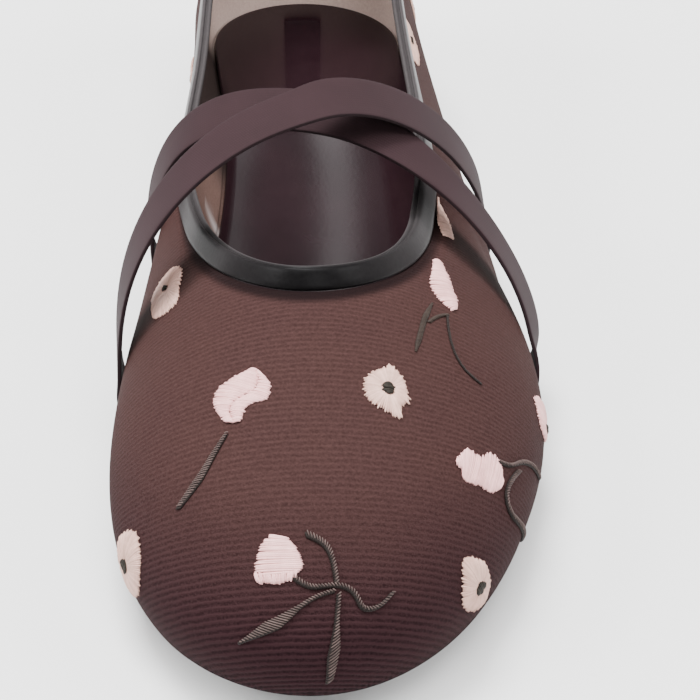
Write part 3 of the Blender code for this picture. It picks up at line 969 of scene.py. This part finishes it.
def maths(tree, operation, first, second=0.0):
    return add_node(tree, "ShaderNodeMath", {0: first, 1: second}, operation=operation).outputs[0]


def times(tree, first, second):
    return maths(tree, "MULTIPLY", first, second)


def shader_group(name, inputs, output):
    """An empty group with named inputs, each with a kind and a start value, and one output number."""
    tree = bpy.data.node_groups.new(name, "ShaderNodeTree")
    for label, kind, value in inputs:
        socket = tree.interface.new_socket(label, in_out="INPUT", socket_type=kind)
        if value is not None:
            socket.default_value = value
    tree.interface.new_socket(output, in_out="OUTPUT", socket_type="NodeSocketFloat")
    return tree, tree.nodes.new("NodeGroupInput"), tree.nodes.new("NodeGroupOutput")


def from_group(tree, group, inputs):
    return add_node(tree, "ShaderNodeGroup", inputs, node_tree=group).outputs[0]


# %% Shared effects
FLOAT = "NodeSocketFloat"
VECTOR = "NodeSocketVector"
CLOUDS_FROM = 0.3
CLOUDS_TO = 0.7

ridge_inputs = [("Distance", FLOAT, 0.0), ("Pitch", FLOAT, 1.0)]
ridges, given, result = shader_group("even_ridges", ridge_inputs, "Height")
turns = maths(ridges, "DIVIDE", given.outputs["Distance"], given.outputs["Pitch"])
wave = maths(ridges, "COSINE", times(ridges, turns, 2 * np.pi))
half_wave = times(ridges, wave, 0.5)
ridges.links.new(maths(ridges, "ADD", half_wave, 0.5), result.inputs["Height"])

cloud_inputs = [("Place", VECTOR, None), ("Scale", FLOAT, 100.0)]
clouds, given, result = shader_group("clouds", cloud_inputs, "Density")
noise = add_node(
    clouds,
    "ShaderNodeTexNoise",
    {"Vector": given.outputs["Place"], "Scale": given.outputs["Scale"], "Detail": 3.0, "Roughness": 0.6},
)
spread = add_node(clouds, "ShaderNodeMapRange", {0: noise.outputs[0], 1: CLOUDS_FROM, 2: CLOUDS_TO})
clouds.links.new(spread.outputs[0], result.inputs["Density"])

grain_inputs = [("Place", VECTOR, None), ("Scale", FLOAT, 900.0)]
grain, given, result = shader_group("leather_grain", grain_inputs, "Height")
cells = add_node(
    grain,
    "ShaderNodeTexVoronoi",
    {"Vector": given.outputs["Place"], "Scale": given.outputs["Scale"], "Randomness": 0.9},
    feature="SMOOTH_F1",
)
grain.links.new(cells.outputs["Distance"], result.inputs["Height"])
print("shared effects", [group.name for group in bpy.data.node_groups])

# %% Material starter
def start_material(name, roughness, specular=0.5, sheen=0.0):
    """A new material, its node tree, and the place of each point on the piece."""
    material = bpy.data.materials.new(name)
    material.use_nodes = True
    tree = material.node_tree
    shader = tree.nodes["Principled BSDF"]
    shader.inputs["Roughness"].default_value = roughness
    shader.inputs["Specular IOR Level"].default_value = specular
    shader.inputs["Sheen Weight"].default_value = sheen
    return material, tree, tree.nodes.new("ShaderNodeTexCoord").outputs["Object"]


def cloudy(tree, place, scale):
    return from_group(tree, clouds, {"Place": place, "Scale": scale})


def ridged(tree, distance, pitch):
    return from_group(tree, ridges, {"Distance": distance, "Pitch": pitch})


def mark_of(tree, name):
    return add_node(tree, "ShaderNodeAttribute", attribute_name=name).outputs["Fac"]


def mixed(tree, amount, first, second):
    """A colour between two colours."""
    inputs = {0: amount}
    for place, value in ((6, first), (7, second)):
        inputs[place] = value if isinstance(value, bpy.types.NodeSocket) else (*value, 1)
    return add_node(tree, "ShaderNodeMix", inputs, data_type="RGBA").outputs[2]


def dress(pieces, material, colour, height, bump, strength):
    """Give a material its colour and a bump of some millimetres by a height, and put it on pieces."""
    tree = material.node_tree
    shader = tree.nodes["Principled BSDF"]
    tree.links.new(colour, shader.inputs["Base Color"])
    inputs = {"Height": height, "Distance": bump * MM, "Strength": strength}
    tree.links.new(add_node(tree, "ShaderNodeBump", inputs).outputs[0], shader.inputs["Normal"])
    for piece in pieces:
        piece.data.materials.append(material)


# %% Ribbed cloth
RIB_PITCH = 1.2
RIB_WAVER = 0.25
RIB_SHARPNESS = 1.6
RIB_DEPTH = 0.35
TOE_RIB_DEPTH = 1.1
TOE_RIBS_FROM = 0.3
TOE_RIBS_TO = 0.95
GATHER_PITCH = 1.1
GATHER_SHARE = 0.8
KNIT_SHARE = 0.7
GLINT_POWER = 4.0
GLINT_SHARE = 6.0
TINT_SHARE = 0.3
BINDING_SHADOW_SHARE = 0.92

cloth, tree, place = start_material("ribbed cloth", roughness=0.8, specular=0.05)
waver = times(tree, cloudy(tree, place, 260.0), RIB_WAVER)
rib = maths(tree, "ADD", mark_of(tree, "rib"), waver)
ridge = maths(tree, "POWER", ridged(tree, rib, RIB_PITCH), RIB_SHARPNESS)
knit = cloudy(tree, place, 2000.0)
patches = cloudy(tree, place, 45.0)
toe = mark_of(tree, "toe")
rib_depths = {0: toe, 1: TOE_RIBS_FROM, 2: TOE_RIBS_TO, 3: RIB_DEPTH, 4: TOE_RIB_DEPTH}
rib_depth = add_node(tree, "ShaderNodeMapRange", rib_depths).outputs[0]
pucker = ridged(tree, mark_of(tree, "round"), GATHER_PITCH)
puckers = times(tree, pucker, mark_of(tree, "gather"))
deep_ridge = times(tree, ridge, rib_depth)
ribs = maths(tree, "SUBTRACT", deep_ridge, times(tree, puckers, GATHER_SHARE))
# Painted highlights: small glints lighten the cloth's colour between the toe and the top, and raise its
# bump.
glint = maths(tree, "POWER", cloudy(tree, place, 3000.0), GLINT_POWER)
half_way = times(tree, toe, maths(tree, "SUBTRACT", 1.0, toe))
glints = times(tree, times(tree, glint, half_way), GLINT_SHARE)
knitted = maths(tree, "ADD", ribs, times(tree, knit, KNIT_SHARE))
ridge_and_knit = maths(tree, "ADD", knitted, glints)
shade = mixed(tree, ridge_and_knit, (0.02, 0.0086, 0.0078), (0.058, 0.0285, 0.0265))
tint = mixed(tree, patches, (0.034, 0.0165, 0.016), (0.044, 0.022, 0.019))
light_cloth = mixed(tree, TINT_SHARE, shade, tint)
# Towards the toe the cloth is darker: partly its own deeper tone, partly painted shade.
dark_cloth = mixed(tree, ridge_and_knit, (0.007, 0.002, 0.003), (0.026, 0.0108, 0.013))
toe_tone_and_shade = mixed(tree, toe, light_cloth, dark_cloth)
# Painted shadow of the binding, darkening the cloth below it at the front.
binding_shadow_black = times(tree, mark_of(tree, "binding_shadow"), BINDING_SHADOW_SHARE)
colour = mixed(tree, binding_shadow_black, toe_tone_and_shade, (0.006, 0.003, 0.0034))
dress([upper_cloth], cloth, colour, ridge_and_knit, bump=0.15, strength=0.7)

# %% Lining and leathers
pale, tree, place = start_material("pale lining", roughness=0.8, specular=0.2)
weave = cloudy(tree, place, 1500.0)
side = mixed(tree, weave, (0.155, 0.09, 0.074), (0.2, 0.122, 0.102))
# The heel colour is partly the lining's own pale tone, partly painted light.
heel = mixed(tree, weave, (0.8, 0.6, 0.53), (0.92, 0.72, 0.64))
# Painted shade on the lining between the front and the heel.
quarter = mixed(tree, mark_of(tree, "dark"), side, (0.04, 0.026, 0.024))
plain = mixed(tree, mark_of(tree, "heel"), quarter, heel)
colour = mixed(tree, mark_of(tree, "tacking"), plain, (0.62, 0.54, 0.53))
dress([lining], pale, colour, weave, bump=0.05, strength=0.4)

glossy, tree, place = start_material("binding leather", roughness=0.36, specular=0.05)
pores = from_group(tree, grain, {"Place": place, "Scale": 1400.0})
black = mixed(tree, pores, (0.004, 0.0036, 0.004), (0.007, 0.0066, 0.0068))
# Painted sheen: grey instead of black along the sides and rear.
painted_sheen_grey = mixed(tree, pores, (0.042, 0.0372, 0.038), (0.055, 0.0495, 0.0505))
leather_with_painted_sheen = mixed(tree, mark_of(tree, "painted_sheen"), black, painted_sheen_grey)
# Painted highlight along the bead's top at the throat.
colour = mixed(tree, mark_of(tree, "bead_highlight"), leather_with_painted_sheen, (0.15, 0.138, 0.14))
dress([collar_roll], glossy, colour, pores, bump=0.04, strength=0.35)

board, tree, place = start_material("insole leather", roughness=0.09, specular=0.3)
patches = cloudy(tree, place, 60.0)
colour = mixed(tree, patches, (0.011, 0.0045, 0.0062), (0.017, 0.0078, 0.0102))
pores = from_group(tree, grain, {"Place": place, "Scale": 1100.0})
dress([insole_board], board, colour, pores, bump=0.01, strength=0.2)

tape, tree, place = start_material("back tape", roughness=0.5, specular=0.2)
weave = cloudy(tree, place, 1800.0)
colour = mixed(tree, weave, (0.006, 0.0045, 0.005), (0.01, 0.0075, 0.0085))
dress([back_cover], tape, colour, weave, bump=0.05, strength=0.4)

# %% [markdown]
# Spun thread has a shade of its own for each stitch, and a twist that runs along it.

# %% Thread
TWIST_PITCH = 0.45

for piece, name, dark, light in (
    (flowers_cream, "cream thread", (0.48, 0.29, 0.24), (0.76, 0.49, 0.41)),
    (buds_pink, "pink thread", (0.68, 0.36, 0.35), (0.95, 0.56, 0.54)),
    (flower_eyes, "olive thread", (0.01, 0.008, 0.0062), (0.028, 0.022, 0.016)),
    (stems_pale, "mauve thread", (0.045, 0.031, 0.028), (0.125, 0.086, 0.078)),
    (stem_cords_and_shadows, "dark thread", (0.008, 0.005, 0.0045), (0.018, 0.012, 0.01)),
    (leaves_moss, "moss thread", (0.022, 0.0145, 0.0115), (0.04, 0.028, 0.022)),
):
    thread, tree, place = start_material(name, roughness=0.62, specular=0.2)
    twist = ridged(tree, mark_of(tree, "along"), TWIST_PITCH)
    depth = times(tree, maths(tree, "ADD", mark_of(tree, "shade"), cloudy(tree, place, 500.0)), 0.5)
    dress([piece], thread, mixed(tree, depth, dark, light), twist, bump=0.05, strength=0.35)

# %% Elastic and rubber
CORD_PITCH = 0.75
PICK_PITCH = 0.5
EDGE_SHADE_FROM = 5.75
WEAVE_TINT_SHARE = 0.5

elastic, tree, place = start_material("woven elastic", roughness=0.82, specular=0.1, sheen=0.03)
cords = ridged(tree, mark_of(tree, "across"), CORD_PITCH)
picks = ridged(tree, mark_of(tree, "along"), PICK_PITCH)
woven = times(tree, cords, picks)
patches = cloudy(tree, place, 70.0)
shade = mixed(tree, woven, (0.019, 0.0088, 0.0108), (0.029, 0.014, 0.0165))
tint = mixed(tree, patches, (0.022, 0.0108, 0.0128), (0.03, 0.0148, 0.0175))
# Painted shade: both edges of each elastic are darkened for the shadow line along them.
from_middle = maths(tree, "ABSOLUTE", mark_of(tree, "across"))
edge_shade = add_node(tree, "ShaderNodeMapRange", {0: from_middle, 1: EDGE_SHADE_FROM, 2: STRAP_WIDTH / 2})
band = mixed(tree, WEAVE_TINT_SHARE, shade, tint)
colour = mixed(tree, edge_shade.outputs[0], band, (0.014, 0.007, 0.0085))
dress(elastics.values(), elastic, colour, woven, bump=0.04, strength=0.35)

rubber, tree, place = start_material("sole rubber", roughness=0.6)
scuffs = cloudy(tree, place, 700.0)
colour = mixed(tree, scuffs, (0.012, 0.009, 0.0085), (0.02, 0.015, 0.014))
dress([rubber_sole, heel_lift], rubber, colour, scuffs, bump=0.08, strength=0.4)

# %% [markdown]
# The shoe stands on a plain pale floor under soft light, seen from the toe and from above.

# %% Floor, light and camera
FLOOR_SIZE = 6.0
FLOOR_SHADE = 0.88
FOCAL_LENGTH = 86.8
CAMERA_DISTANCE = 344.3
CAMERA_ELEVATION_DEG = 40.55
CAMERA_AZIMUTH_DEG = -2.18
CAMERA_ROLL_DEG = 0.76
CAMERA_TARGET = np.array([3.9, -46.4, 25.0])
LIGHT_UP = [0.0, 1.0, 0.01]

floor_corners = np.array([[-1, -1, 0], [1, -1, 0], [1, 1, 0], [-1, 1, 0]]) * FLOOR_SIZE / 2 / MM
floor_mesh = make_mesh("floor", floor_corners, np.array([[0, 1, 2, 3]]), {})
floor_piece = new_object("floor", floor_mesh)
paper, tree, _ = start_material("pale paper", roughness=0.9)
shader = tree.nodes["Principled BSDF"]
shader.inputs["Base Color"].default_value = (FLOOR_SHADE, FLOOR_SHADE, FLOOR_SHADE, 1)
floor_mesh.materials.append(paper)


def add_light(name, position, aim_height, width, depth, power):
    """A soft box that looks at a point over the middle of the floor."""
    data = bpy.data.lights.new(name, "AREA")
    data.shape = "RECTANGLE"
    data.size = width
    data.size_y = depth
    data.energy = power
    back = unit(np.array(position) - [0.0, 0.0, aim_height])
    right = unit(np.cross(LIGHT_UP, back))
    turn = np.stack([right, np.cross(back, right), back], -1)
    matrix = Matrix.Translation(position) @ Matrix(turn.tolist()).to_4x4()
    new_object(name, data).matrix_world = matrix


add_light("overhead light", (0.0, -0.1, 2.0), 0.0, 1.6, 1.4, 56.0)
add_light("rear light", (-0.35, 0.8, 2.0), 0.0, 1.0, 0.5, 80.0)
add_light("front light", (0.5, -1.5, 1.1), 0.03, 1.0, 0.6, 11.0)
add_light("left light", (-1.3, -0.1, 1.0), 0.03, 0.6, 0.8, 22.0)
add_light("right light", (1.3, -0.1, 1.0), 0.03, 0.6, 0.8, 15.0)
add_light("streak light", (0.045, 1.65, 1.45), 0.0, 0.05, 1.0, 0.5)
add_light("side streak light", (-0.09, 1.65, 1.45), 0.0, 0.028, 1.0, 0.18)

world = bpy.data.worlds.new("studio")
world.use_nodes = True
background = world.node_tree.nodes["Background"].inputs
background["Color"].default_value = (1.0, 1.0, 1.0, 1)
background["Strength"].default_value = 0.3
bpy.context.scene.world = world

elevation = np.radians(CAMERA_ELEVATION_DEG)
azimuth = np.radians(CAMERA_AZIMUTH_DEG)
roll = np.radians(CAMERA_ROLL_DEG)
camera_back = np.array(
    [np.sin(azimuth) * np.cos(elevation), -np.cos(azimuth) * np.cos(elevation), np.sin(elevation)]
)
level_right = unit(np.cross(-camera_back, [0.0, 0.0, 1.0]))
level_up = np.cross(level_right, -camera_back)
camera_right = level_right * np.cos(roll) + level_up * np.sin(roll)
camera_up = level_up * np.cos(roll) - level_right * np.sin(roll)
eye = (CAMERA_TARGET + CAMERA_DISTANCE * camera_back) * MM
lens = bpy.data.cameras.new("camera")
lens.lens = FOCAL_LENGTH
lens.sensor_width = 36.0
lens.clip_start = 0.01
camera = new_object("camera", lens)
camera_turn = Matrix(np.stack([camera_right, camera_up, camera_back], -1).tolist()).to_4x4()
camera.matrix_world = Matrix.Translation(eye.tolist()) @ camera_turn
bpy.context.scene.camera = camera
print("camera at", (eye / MM).round(1), "mm")
